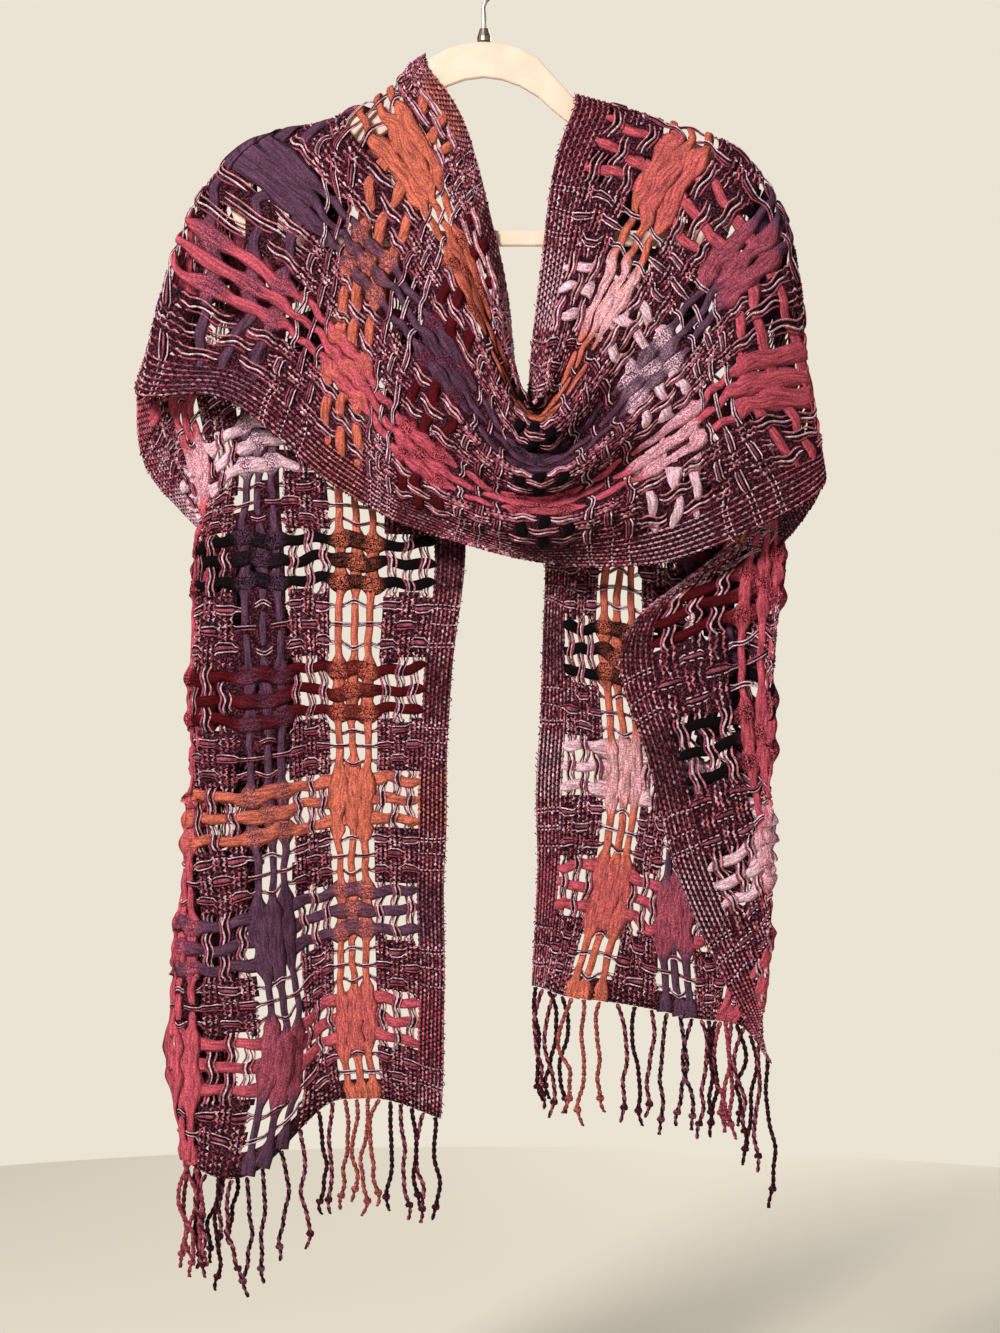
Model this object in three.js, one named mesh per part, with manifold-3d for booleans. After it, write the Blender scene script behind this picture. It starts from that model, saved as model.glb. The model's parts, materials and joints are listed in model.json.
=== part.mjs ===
// An openwork woven scarf with knotted fringes, draped over a slim clothes hanger.
// Millimetres. +X is to the right seen from the front, +Y goes to the back, +Z is up.
// The origin is the bearing point of the hanger's hook: the inner top of its bend.
import * as THREE from 'three';
import { mergeVertices } from 'three/addons/utils/BufferGeometryUtils.js';
import Module from 'manifold-3d';

const wasm = await Module();
wasm.setup();

// ---- Driving sizes -------------------------------------------------------------------

const CLOTH = {
  length: 1820, // hem to hem, along the warp
  width: 328, // selvage to selvage
  wall: 2.4,
  parting: 1.2, // along the warp, where two stretches meet: about 0.3 once they lean
  leftPart: 640, // along the warp: where the left tail ends and the front drape begins
  rightPart: 1262, // where the front drape ends and the right tail begins
};

// The weave alternates coloured bands of three thick cords with bands of thin cords, both ways.
const BANDS = {
  barPitch: 93, // along the warp, from one coloured bar to the next
  firstBar: 68, // hem to the middle of the first bar
  bars: 19,
  columns: [84, 164, 244], // middle of each coloured column, across the weft
  thins: [44, 124, 204, 284], // middle of each thin column
  middleCord: 3, // half the width of the middle cord of a column
  columnReach: 10.3, // middle of a column to the far side of its windows
  thinWindow: 5.4, // half the width of a thin column's window
  barCord: 3.3, // half the width of a bar's middle cord
  barReach: 11.4, // middle of a bar to the far side of its windows
  rowWindow: 6, // half the length of the windows between two bars
  relief: 0.8, // the middle cords stand this much proud of the wall
};

const HANGER = {
  thick: 6,
  bevel: 0.9,
  reach: 198, // half its length
  armStart: 75.5, // where the arch runs out into the straight arm
  armStartZ: -124.6,
  armSlope: 0.325,
  armEnd: 175, // where the arm's rounded end begins
  armHeight: 20,
  endZ: -190,
  barTopZ: -217.4,
  barBottomZ: -228.8,
  barReach: 172,
};

// Top and underside of the arch, one side: distance from the middle, height.
const ARCH_TOP = [[0, -74.7], [14, -76.3], [27, -80], [41, -87.6], [57, -105.7], [69, -119]];
const ARCH_UNDER = [[0, -101.5], [14, -103.4], [27, -108], [41, -116.3], [51, -125.5], [64, -136]];

const HOOK = {
  wire: 3.5,
  sides: 8,
  steps: 30,
  innerRadius: 18,
  stemFootZ: -64.4,
  stemTopZ: -46,
  tipZ: -25,
};

const COLLAR = { foot: 5.2, top: 3.2, footZ: -74.2, topZ: -64.7 };

const FRINGE = {
  parting: 1.7, // clears the hem where it turns back
  strip: 5, // height of the strip that carries the strands
  rootAt: 0.9, // how far down the strip a strand starts
  sunk: 0.6, // how far its end stands up into the strip
  strandRadius: 1.7,
  knotRadius: 2.7,
  sides: 3,
};

// ---- Interpolation -------------------------------------------------------------------

// A smooth curve through (xs, ys), with uneven spacing allowed.
function curveThrough(xs, ys, x) {
  const last = xs.length - 1;
  let i = 0;
  while (i < last - 1 && x > xs[i + 1]) i += 1;
  const slope = (k) => (ys[k + 1] - ys[k]) / (xs[k + 1] - xs[k]);
  const tangent = (k) => {
    if (k === 0) return slope(0);
    if (k === last) return slope(last - 1);
    const before = xs[k] - xs[k - 1];
    const after = xs[k + 1] - xs[k];
    return (slope(k - 1) * after + slope(k) * before) / (before + after);
  };
  const span = xs[i + 1] - xs[i];
  const u = (x - xs[i]) / span;
  const u2 = u * u;
  const u3 = u2 * u;
  return (2 * u3 - 3 * u2 + 1) * ys[i] + (u3 - 2 * u2 + u) * span * tangent(i)
    + (3 * u2 - 2 * u3) * ys[i + 1] + (u3 - u2) * span * tangent(i + 1);
}

function smoothStep(from, to, x) {
  const u = Math.min(1, Math.max(0, (x - from) / (to - from)));
  return u * u * (3 - 2 * u);
}

// ---- How the cloth hangs -------------------------------------------------------------

// Six rails run the whole length of the scarf. Each row is one section across it:
// its place along the warp, the turn rail's place across the weft, and [x, y, z] of each rail.
// The neck rail is the inner selvage and the outer rail the other one. The valley rail lies
// between the orange and purple columns, and the turn rail follows the fold of each tail.
const ACROSS = { neck: 0, orange: 84, valley: 124, purple: 164, outer: 328 };
const RAILS = ['neck', 'orange', 'valley', 'purple', 'turn', 'outer'];

const LEFT_TAIL = [
  { along: 0, turnAt: 255, neck: [-32, 18, -889], orange: [-93, 19, -875], valley: [-124, 30, -884],
    purple: [-168, 5, -925], turn: [-226, 13, -918], outer: [-185, 25, -908] },
  { along: 68, turnAt: 268, neck: [-31, 16, -824], orange: [-99, 18, -812], valley: [-126, 30, -822],
    purple: [-152, 12, -843], turn: [-236, 10, -848], outer: [-190, 26, -845] },
  { along: 161, turnAt: 265, neck: [-30, 15, -732], orange: [-100, 16, -732], valley: [-129, 28, -739],
    purple: [-158, 12, -752], turn: [-233, 12, -758], outer: [-182, 28, -752] },
  { along: 254, turnAt: 225, neck: [-29, 14, -647], orange: [-100, 15, -647], valley: [-131, 24, -650],
    purple: [-163, 13, -658], turn: [-222, 14, -662], outer: [-160, 30, -660] },
  { along: 347, turnAt: 214, neck: [-26, 13, -564], orange: [-99, 14, -564], valley: [-133, 20, -563],
    purple: [-168, 14, -571], turn: [-219, 16, -572], outer: [-142, 31, -572] },
  { along: 440, turnAt: 212, neck: [-15, 13, -467], orange: [-96, 13, -467], valley: [-133, 16, -465],
    purple: [-170, 14, -464], turn: [-215, 18, -468], outer: [-160, 30, -484] },
  { along: 533, turnAt: 222, neck: [-11, 13, -378], orange: [-100, 12, -378], valley: [-137, 12, -376],
    purple: [-172, 12, -376], turn: [-208, 13, -398], outer: [-226, 15, -432] },
  { along: 626, turnAt: 212, neck: [-20, 13, -262], orange: [-88, 12, -262], valley: [-130, 11, -262],
    purple: [-174, 10, -270], turn: [-216, 10, -290], outer: [-263, 10, -361] },
];

const FRONT = [
  { along: 719, turnAt: 204, neck: [-56, 9, -159], orange: [-72, 8, -141],
    purple: [-156, -9, -173], turn: [-171, -15, -211], outer: [-201, -22, -344] },
  { along: 812, turnAt: 230, neck: [-24, -8, -119], orange: [-52, -13, -168],
    purple: [-88, -22, -243], turn: [-99, -28, -310], outer: [-110, -24, -411] },
  { along: 905, turnAt: 244, neck: [8, -10, -224], orange: [-13, -24, -251],
    purple: [-29, -36, -319], turn: [-48, -38, -390], outer: [-48, -28, -443] },
  { along: 998, turnAt: 244, neck: [29, -14, -351], orange: [39, -36, -360],
    purple: [40, -48, -396], turn: [43, -50, -427], outer: [46, -34, -469] },
  { along: 1091, turnAt: 244, neck: [41, -10, -258], orange: [93, -24, -273],
    purple: [125, -36, -326], turn: [139, -38, -379], outer: [142, -26, -466] },
  { along: 1184, turnAt: 244, neck: [61, -8, -145], orange: [137, -12, -179],
    purple: [191, -20, -243], turn: [220, -22, -332], outer: [248, -16, -413] },
];

const RIGHT_TAIL = [
  { along: 1277, turnAt: 244, neck: [65, 10, -207], orange: [148, 10, -220],
    purple: [202, 9, -270], turn: [230, 10, -375], outer: [227, 9, -451] },
  { along: 1370, turnAt: 215, neck: [57, 13, -322], orange: [122, 14, -330],
    purple: [174, 14, -360], turn: [214, 11, -398], outer: [182, 4, -462] },
  { along: 1463, turnAt: 196, neck: [49, 13, -436], orange: [106, 14, -436],
    purple: [163, 14, -443], turn: [214, 10, -458], outer: [106, 2, -526] },
  { along: 1556, turnAt: 212, neck: [43, 13, -526], orange: [103, 14, -538],
    purple: [174, 14, -553], turn: [216, 10, -583], outer: [125, 3, -623] },
  { along: 1649, turnAt: 240, neck: [40, 13, -621], orange: [107, 14, -626],
    purple: [156, 14, -636], turn: [216, 10, -681], outer: [154, 3, -726] },
  { along: 1742, turnAt: 282, neck: [40, 14, -711], orange: [97, 14, -716],
    purple: [144, 14, -734], turn: [214, 10, -775], outer: [197, 4, -813] },
  { along: 1820, turnAt: 306, neck: [35, 15, -789], orange: [76, 12, -798],
    purple: [148, 16, -811], turn: [206, 10, -832], outer: [216, 3, -846] },
];

// The highest line of each shoulder, where the cloth turns over the arm and then over itself:
// for each rail its place along the warp, x and z.
const LEFT_TOP = {
  turnAt: 204,
  neck: [770, -45, -84], orange: [753, -79, -115], valley: [725, -128, -136.2],
  purple: [697, -175, -149], turn: [690, -206, -177], outer: [655, -262, -332],
};
const RIGHT_TOP = {
  turnAt: 244,
  neck: [1213, 69, -115], orange: [1229, 157, -141], valley: [1236, 194, -157],
  purple: [1241, 224, -197], turn: [1210, 243, -321], outer: [1202, 257, -398],
};
const ROW_LEAN = { left: 715, right: 1222, full: 30, none: 150 };
const BEND = { run: 12, depth: 7, drop: 8, clear: 20 }; // how the cloth rounds a shoulder

// The middle of the drape is gathered into soft lengthwise folds that fade to both sides.
const GATHER = { along: 998, reach: 92, depth: 11, pitch: 82, phase: 0.35 };

function railKnots(rail) {
  const across = (row) => (rail === 'turn' ? row.turnAt : ACROSS[rail]);
  const place = (row) => {
    if (row[rail]) return row[rail];
    return row.orange.map((value, k) => (value + row.purple[k]) / 2);
  };
  const knots = [];
  const tops = [LEFT_TOP[rail], RIGHT_TOP[rail]];
  for (const row of [...LEFT_TAIL, ...FRONT, ...RIGHT_TAIL]) {
    if (tops.some((top) => Math.abs(row.along - top[0]) < BEND.clear)) continue;
    knots.push([row.along, across(row), ...place(row)]);
  }
  tops.forEach(([along, x, z], side) => {
    const toFront = side === 0 ? 1 : -1;
    for (const step of [-1, 0, 1]) {
      const w = rail === 'turn' ? (side === 0 ? LEFT_TOP : RIGHT_TOP).turnAt : ACROSS[rail];
      const y = -step * toFront * BEND.depth;
      knots.push([along + step * BEND.run, w, x, y, z - Math.abs(step) * BEND.drop]);
    }
  });
  return knots.sort((a, b) => a[0] - b[0]);
}

const KNOTS = RAILS.map(railKnots);
const KNOT_COLUMNS = KNOTS.map((knots) => [0, 1, 2, 3, 4].map((k) => knots.map((row) => row[k])));

// Where the top line lies along the warp, at a place across the weft.
function topAlong(tops, across) {
  const places = RAILS.map((rail) => (rail === 'turn' ? tops.turnAt : ACROSS[rail]));
  return curveThrough(places, RAILS.map((rail) => tops[rail][0]), across);
}

// Near a shoulder the sections lean, so that they follow its top line.
function lean(along, across) {
  const shifts = RAILS.map(() => 0);
  for (const tops of [LEFT_TOP, RIGHT_TOP]) {
    const here = topAlong(tops, across);
    const weight = 1 - smoothStep(25, 165, Math.abs(along - here));
    RAILS.forEach((rail, k) => { shifts[k] += weight * (tops[rail][0] - here); });
  }
  return shifts;
}

function clothPoint(along, across) {
  const shifts = lean(along, across);
  const section = KNOT_COLUMNS.map(([places, ...values], k) => (
    values.map((column) => curveThrough(places, column, along + shifts[k]))));
  const across_ = section.map((rail) => rail[0]);
  const [x, y, z] = [1, 2, 3].map((k) => curveThrough(across_, section.map((rail) => rail[k]), across));
  const fade = Math.exp(-(((along - GATHER.along) / GATHER.reach) ** 2));
  const fold = Math.sin(2 * Math.PI * (across / GATHER.pitch + GATHER.phase));
  return new THREE.Vector3(x, y + GATHER.depth * fade * fold, z);
}

// The wall's rows lean near a shoulder too, so that a row lies along the top line.
function rowPoint(row, across) {
  let along = row;
  for (const [tops, middle] of [[LEFT_TOP, ROW_LEAN.left], [RIGHT_TOP, ROW_LEAN.right]]) {
    const weight = 1 - smoothStep(ROW_LEAN.full, ROW_LEAN.none, Math.abs(row - middle));
    along += weight * (topAlong(tops, across) - middle);
  }
  return clothPoint(along, across);
}

function rowNormal(row, across) {
  const step = 1.5;
  const b = rowPoint(row + step, across).sub(rowPoint(row - step, across));
  const a = rowPoint(row, across + step).sub(rowPoint(row, across - step));
  return a.cross(b).normalize();
}

// ---- The cloth's wall ----------------------------------------------------------------

function acrossLines() {
  const lines = [0, CLOTH.width];
  for (const middle of BANDS.thins) lines.push(middle - BANDS.thinWindow, middle + BANDS.thinWindow);
  for (const middle of BANDS.columns) {
    for (const reach of [BANDS.middleCord, BANDS.columnReach]) lines.push(middle - reach, middle + reach);
  }
  return lines.sort((a, b) => a - b);
}

function barMiddle(index) {
  return BANDS.firstBar + BANDS.barPitch * index;
}

function alongLines(from, to) {
  const lines = [from, to];
  const add = (value) => { if (value > from + 3 && value < to - 3) lines.push(value); };
  for (let index = 0; index < BANDS.bars; index += 1) {
    const middle = barMiddle(index);
    for (const reach of [BANDS.barCord, BANDS.barReach]) {
      add(middle - reach);
      add(middle + reach);
    }
    if (index === BANDS.bars - 1) break;
    const between = middle + BANDS.barPitch / 2;
    add(between - BANDS.rowWindow);
    add(between + BANDS.rowWindow);
  }
  return withExtraRows(lines.sort((a, b) => a - b));
}

// Rows close enough together to round the shoulders.
function withExtraRows(lines) {
  const zones = [[685, 745, 7], [1195, 1250, 7], [745, 1195, 26]];
  const out = [lines[0]];
  for (let i = 1; i < lines.length; i += 1) {
    const a = lines[i - 1];
    const b = lines[i];
    const zone = zones.find(([from, to]) => (a + b) / 2 > from && (a + b) / 2 < to);
    const parts = zone ? Math.max(1, Math.round((b - a) / zone[2])) : 1;
    for (let k = 1; k <= parts; k += 1) out.push(a + ((b - a) * k) / parts);
  }
  return out;
}

function nearest(list, value) {
  return list.reduce((best, item) => (Math.abs(item - value) < Math.abs(best - value) ? item : best));
}

function isWindow(along, across) {
  const column = Math.abs(across - nearest(BANDS.columns, across));
  const thin = Math.abs(across - nearest(BANDS.thins, across));
  const bar = Math.round((along - BANDS.firstBar) / BANDS.barPitch);
  const fromBar = Math.abs(along - barMiddle(bar));
  const besideBar = fromBar > BANDS.barCord && fromBar < BANDS.barReach;
  const between = Math.abs(fromBar - BANDS.barPitch / 2) < BANDS.rowWindow;
  const betweenBars = between && along > BANDS.firstBar && along < barMiddle(BANDS.bars - 1);
  const besideCord = column > BANDS.middleCord && column < BANDS.columnReach;
  return (besideCord && betweenBars) || (thin < BANDS.thinWindow && besideBar);
}

function proud(along, across) {
  const column = Math.abs(across - nearest(BANDS.columns, across)) < BANDS.middleCord + 0.1;
  const bar = Math.round((along - BANDS.firstBar) / BANDS.barPitch);
  const onBar = Math.abs(along - barMiddle(bar)) < BANDS.barCord + 0.1;
  return column || onBar ? BANDS.relief : 0;
}

// A closed wall over a grid of cells, with the windows left out and walled all round.
function wallGeometry(alongs, acrosses, open, raised) {
  const positions = [];
  const index = [];
  const columns = acrosses.length;
  const half = CLOTH.wall / 2;
  const id = (i, j, side) => (i * columns + j) * 2 + side;
  for (const along of alongs) {
    for (const across of acrosses) {
      const point = rowPoint(along, across);
      const normal = rowNormal(along, across);
      const outer = point.clone().addScaledVector(normal, half + raised(along, across));
      const inner = point.clone().addScaledVector(normal, -half);
      positions.push(outer.x, outer.y, outer.z, inner.x, inner.y, inner.z);
    }
  }
  const solid = (i, j) => i >= 0 && j >= 0 && i < alongs.length - 1 && j < columns - 1
    && !open((alongs[i] + alongs[i + 1]) / 2, (acrosses[j] + acrosses[j + 1]) / 2);
  const quad = (a, b, c, d) => index.push(a, b, c, a, c, d);
  for (let i = 0; i < alongs.length - 1; i += 1) {
    for (let j = 0; j < columns - 1; j += 1) {
      if (!solid(i, j)) continue;
      quad(id(i, j, 0), id(i, j + 1, 0), id(i + 1, j + 1, 0), id(i + 1, j, 0));
      quad(id(i, j, 1), id(i + 1, j, 1), id(i + 1, j + 1, 1), id(i, j + 1, 1));
      if (!solid(i - 1, j)) quad(id(i, j, 0), id(i, j, 1), id(i, j + 1, 1), id(i, j + 1, 0));
      if (!solid(i + 1, j)) quad(id(i + 1, j, 0), id(i + 1, j + 1, 0), id(i + 1, j + 1, 1), id(i + 1, j, 1));
      if (!solid(i, j - 1)) quad(id(i, j, 0), id(i + 1, j, 0), id(i + 1, j, 1), id(i, j, 1));
      if (!solid(i, j + 1)) quad(id(i, j + 1, 0), id(i, j + 1, 1), id(i + 1, j + 1, 1), id(i + 1, j + 1, 0));
    }
  }
  return indexedGeometry(positions, index);
}

// Only the points that faces use are kept.
function indexedGeometry(positions, index) {
  const kept = new Map();
  const used = [];
  const renumbered = index.map((point) => {
    if (!kept.has(point)) {
      kept.set(point, kept.size);
      used.push(positions[3 * point], positions[3 * point + 1], positions[3 * point + 2]);
    }
    return kept.get(point);
  });
  const geometry = new THREE.BufferGeometry();
  geometry.setAttribute('position', new THREE.Float32BufferAttribute(used, 3));
  geometry.setIndex(renumbered);
  return geometry;
}

function stretch(from, to) {
  return wallGeometry(alongLines(from, to), acrossLines(), isWindow, proud);
}

// ---- Joining solids ------------------------------------------------------------------

function toManifold(geometry) {
  const bare = geometry.clone();
  bare.deleteAttribute('normal');
  bare.deleteAttribute('uv');
  const merged = mergeVertices(bare, 1e-4);
  return new wasm.Manifold(new wasm.Mesh({
    numProp: 3,
    vertProperties: new Float32Array(merged.attributes.position.array),
    triVerts: new Uint32Array(merged.index.array),
  }));
}

function fromManifold(solid) {
  const mesh = solid.getMesh();
  return indexedGeometry([...mesh.vertProperties], [...mesh.triVerts]);
}

// ---- Fringes -------------------------------------------------------------------------

// One strand: rings of three corners down a gently swaying line, thicker at its knot.
function strandGeometry(root, length, sway, phase) {
  const { strandRadius, knotRadius, sides } = FRINGE;
  const rings = [
    { down: -FRINGE.sunk, radius: strandRadius }, { down: 0.2, radius: strandRadius },
    { down: 0.5, radius: strandRadius }, { down: 0.83, radius: strandRadius },
    { down: 0.9, radius: knotRadius }, { down: 1, radius: 1.2 },
  ];
  const positions = [];
  for (const ring of rings) {
    const drop = ring.down < 0 ? ring.down : ring.down * length;
    const share = Math.max(0, ring.down);
    const x = root.x + sway * share + 2.2 * share * Math.sin(7 * share + phase);
    const y = root.y + 1.5 * share * Math.cos(5 * share + phase);
    for (let k = 0; k < sides; k += 1) {
      const angle = (2 * Math.PI * k) / sides + phase;
      positions.push(x + ring.radius * Math.cos(angle), y + ring.radius * Math.sin(angle), root.z - drop);
    }
  }
  const index = [0, 1, 2];
  for (let ring = 0; ring < rings.length - 1; ring += 1) {
    for (let k = 0; k < sides; k += 1) {
      const a = ring * sides + k;
      const b = ring * sides + ((k + 1) % sides);
      index.push(a, b + sides, b, a, a + sides, b + sides);
    }
  }
  const foot = (rings.length - 1) * sides;
  index.push(foot, foot + 2, foot + 1);
  return indexedGeometry(positions, index);
}

const STRIP_LINES = acrossLines();

// A point on the strip's flat facets, where a strand is rooted.
function pointOnStrip(along, across) {
  const next = STRIP_LINES.findIndex((line) => line >= across);
  const share = (across - STRIP_LINES[next - 1]) / (STRIP_LINES[next] - STRIP_LINES[next - 1]);
  return clothPoint(along, STRIP_LINES[next - 1]).lerp(clothPoint(along, STRIP_LINES[next]), share);
}

// The strip continues the cloth past its hem, and the strands hang from it.
function fringeGeometry({ hem, outward, count, lengths, sway }) {
  const near = hem + outward * FRINGE.parting;
  const far = near + outward * FRINGE.strip;
  const alongs = outward > 0 ? [near, far] : [far, near];
  let solid = toManifold(wallGeometry(alongs, STRIP_LINES, () => false, () => 0));
  for (let index = 0; index < count; index += 1) {
    const across = (CLOTH.width * (index + 0.5)) / count;
    const root = pointOnStrip(near + (far - near) * FRINGE.rootAt, across);
    const share = (index / (count - 1)) * (lengths.length - 1);
    const low = Math.min(lengths.length - 2, Math.floor(share));
    const length = lengths[low] + (lengths[low + 1] - lengths[low]) * (share - low);
    const uneven = 6 * Math.sin(index * 2.4);
    const strand = strandGeometry(root, length + uneven, sway * Math.sin(index * 1.3), index * 1.9);
    solid = solid.add(toManifold(strand));
  }
  return fromManifold(solid);
}

// ---- Hanger --------------------------------------------------------------------------

function armTop(x) {
  return HANGER.armStartZ - (x - HANGER.armStart) * HANGER.armSlope;
}

function hangerBody() {
  const { reach, armEnd, endZ, barTopZ, barBottomZ, barReach, armStart, armHeight, thick, bevel } = HANGER;
  const inset = ([x, z]) => new THREE.Vector2(x, z);
  const halfTop = [...ARCH_TOP, [armStart, armTop(armStart)], [armEnd, armTop(armEnd)]].map(inset);
  const end = new THREE.CubicBezierCurve(
    new THREE.Vector2(armEnd, armTop(armEnd)), new THREE.Vector2(reach, armTop(reach) + 4),
    new THREE.Vector2(reach + 2, endZ - 24), new THREE.Vector2(barReach, barBottomZ),
  ).getPoints(8).slice(1);
  const right = [...halfTop, ...end];
  const left = right.slice(1).reverse().map((point) => new THREE.Vector2(-point.x, point.y));
  const shape = new THREE.Shape([...right, ...left]);

  const underStart = armTop(armStart) - armHeight;
  const innerTop = [...ARCH_UNDER, [armStart, underStart], [armEnd - 6, armTop(armEnd - 6) - armHeight]].map(inset);
  const corner = new THREE.CubicBezierCurve(
    innerTop[innerTop.length - 1], new THREE.Vector2(armEnd + 8, endZ + 4),
    new THREE.Vector2(armEnd + 4, barTopZ), new THREE.Vector2(barReach - 14, barTopZ),
  ).getPoints(6).slice(1);
  const innerRight = [...innerTop, ...corner];
  const innerLeft = innerRight.slice(1).reverse().map((point) => new THREE.Vector2(-point.x, point.y));
  shape.holes.push(new THREE.Path([...innerRight, ...innerLeft].reverse()));

  const geometry = new THREE.ExtrudeGeometry(shape, {
    depth: thick - 2 * bevel, bevelEnabled: true, bevelThickness: bevel, bevelSize: bevel,
    bevelOffset: -bevel, bevelSegments: 1, curveSegments: 1,
  });
  geometry.translate(0, 0, -(thick - 2 * bevel) / 2);
  geometry.rotateX(Math.PI / 2);
  return geometry;
}

// The wire leans out to one side and comes round, so that its bend sits over the stem.
function hookGeometry() {
  const radius = HOOK.innerRadius + HOOK.wire / 2;
  const middleZ = -HOOK.innerRadius;
  const points = [
    [0, HOOK.stemFootZ], [0, (HOOK.stemFootZ + HOOK.stemTopZ) / 2], [0, HOOK.stemTopZ],
    [radius * 0.42, HOOK.stemTopZ + 9], [radius * 0.86, HOOK.stemTopZ + 18],
  ];
  for (let degrees = 0; degrees <= 180; degrees += 30) {
    const angle = THREE.MathUtils.degToRad(degrees);
    points.push([radius * Math.cos(angle), middleZ + radius * Math.sin(angle)]);
  }
  points.push([-radius * 0.97, HOOK.tipZ]);
  const path = new THREE.CatmullRomCurve3(points.map(([x, z]) => new THREE.Vector3(x, 0, z)), false, 'centripetal');
  const section = new THREE.Shape();
  section.absarc(0, 0, HOOK.wire / 2, 0, 2 * Math.PI);
  return new THREE.ExtrudeGeometry(section, { steps: HOOK.steps, extrudePath: path, curveSegments: HOOK.sides / 2 });
}

function collarGeometry() {
  const { foot, top, footZ, topZ } = COLLAR;
  const profile = [[0, footZ], [foot, footZ], [foot, footZ + 3], [top, topZ], [0, topZ]];
  const geometry = new THREE.LatheGeometry(profile.map(([r, z]) => new THREE.Vector2(r, z)), 16);
  geometry.rotateX(Math.PI / 2);
  return geometry;
}

// ---- Materials and scene graph -------------------------------------------------------

const clothMaterial = new THREE.MeshStandardMaterial({ color: 0x8a4a5c, roughness: 0.95, metalness: 0 });
const tailMaterial = new THREE.MeshStandardMaterial({ color: 0x7c4054, roughness: 0.95, metalness: 0 });
const fringeMaterial = new THREE.MeshStandardMaterial({ color: 0x6a3348, roughness: 0.95, metalness: 0 });
const flockMaterial = new THREE.MeshStandardMaterial({ color: 0xf0d9c6, roughness: 0.9, metalness: 0 });
const wireMaterial = new THREE.MeshStandardMaterial({ color: 0x967d69, roughness: 0.35, metalness: 0.9 });

function named(name, geometry, material) {
  const mesh = new THREE.Mesh(geometry, material);
  mesh.name = name;
  return mesh;
}

const gap = CLOTH.parting / 2;
const scarf = new THREE.Group();
scarf.add(
  named('left_tail', stretch(0, CLOTH.leftPart - gap), tailMaterial),
  named('front_drape', stretch(CLOTH.leftPart + gap, CLOTH.rightPart - gap), clothMaterial),
  named('right_tail', stretch(CLOTH.rightPart + gap, CLOTH.length), tailMaterial),
  named('left_fringe', fringeGeometry({
    hem: 0, outward: -1, count: 27, lengths: [74, 80, 78, 84, 72, 80, 76], sway: 3,
  }), fringeMaterial),
  named('right_fringe', fringeGeometry({
    hem: CLOTH.length, outward: 1, count: 25, lengths: [82, 86, 84, 82, 80, 78, 104], sway: 3,
  }), fringeMaterial),
);

const hanger = new THREE.Group();
hanger.add(
  named('hanger_body', hangerBody(), flockMaterial),
  named('hook_collar', collarGeometry(), wireMaterial),
  named('hook_wire', hookGeometry(), wireMaterial),
);

const model = new THREE.Group();
model.add(scarf, hanger);
export default model;
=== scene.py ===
import json
import math

import bpy
import numpy as np
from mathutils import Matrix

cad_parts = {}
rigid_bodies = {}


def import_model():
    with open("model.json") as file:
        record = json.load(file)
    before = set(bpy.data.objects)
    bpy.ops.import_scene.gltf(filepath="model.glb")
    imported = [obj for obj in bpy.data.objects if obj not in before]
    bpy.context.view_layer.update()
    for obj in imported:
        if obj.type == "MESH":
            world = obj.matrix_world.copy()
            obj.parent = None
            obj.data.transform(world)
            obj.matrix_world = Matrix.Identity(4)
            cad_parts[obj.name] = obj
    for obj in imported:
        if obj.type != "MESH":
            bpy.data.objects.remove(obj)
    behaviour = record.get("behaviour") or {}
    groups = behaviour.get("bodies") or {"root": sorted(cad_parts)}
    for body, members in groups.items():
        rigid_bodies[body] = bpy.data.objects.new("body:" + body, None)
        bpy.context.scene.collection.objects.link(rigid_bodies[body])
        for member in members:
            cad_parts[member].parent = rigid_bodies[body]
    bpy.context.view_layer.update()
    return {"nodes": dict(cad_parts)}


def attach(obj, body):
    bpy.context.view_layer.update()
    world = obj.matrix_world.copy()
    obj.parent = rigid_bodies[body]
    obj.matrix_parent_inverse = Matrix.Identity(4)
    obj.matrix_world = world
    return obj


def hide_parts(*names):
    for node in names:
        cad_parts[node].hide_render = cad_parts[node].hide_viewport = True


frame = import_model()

mm = 0.001


# camera, light and floor

view = {
    "aimX": 12, "aimZ": -546,          # middle of the picture at the hanger, mm
    "distance": 2000,
    "frameHeight": 1006,               # what the picture covers there
    "floorZ": -1180,
    "floorRadius": 1500,
    "room": (0.83, 0.775, 0.66, 1),
}
lamps = {                              # place, aim and size in m, power in W, colour
    "keyLight": ((-1.25, -1.9, 0.75), (0, 0, -0.5), 0.6, 88, (1, 0.97, 0.92)),
    "fillLight": ((1.7, -1.6, -0.3), (0, 0, -0.5), 1.6, 6, (1, 0.95, 0.88)),
    "backLight": ((1.1, 2.5, 0.3), (0, 0, -0.3), 1.5, 42, (1, 0.97, 0.93)),
}


def addCamera():
    cameraData = bpy.data.cameras.new("camera")
    cameraData.sensor_fit = "VERTICAL"
    cameraData.sensor_height = 36
    cameraData.lens = 36 * view["distance"] / view["frameHeight"]
    camera = bpy.data.objects.new("camera", cameraData)
    camera.location = (view["aimX"] * mm, -view["distance"] * mm, view["aimZ"] * mm)
    camera.rotation_euler = (math.radians(90), 0, 0)
    bpy.context.collection.objects.link(camera)
    bpy.context.scene.camera = camera


def addLight(name, place, aim, size, power, colour):
    lightData = bpy.data.lights.new(name, "AREA")
    lightData.shape = "DISK"
    lightData.size = size
    lightData.energy = power
    lightData.color = colour
    light = bpy.data.objects.new(name, lightData)
    light.location = place
    direction = np.array(aim) - np.array(place)
    light.rotation_euler = (
        math.atan2(math.hypot(direction[0], direction[1]), -direction[2]), 0,
        math.atan2(direction[1], direction[0]) - math.radians(90),
    )
    bpy.context.collection.objects.link(light)


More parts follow.
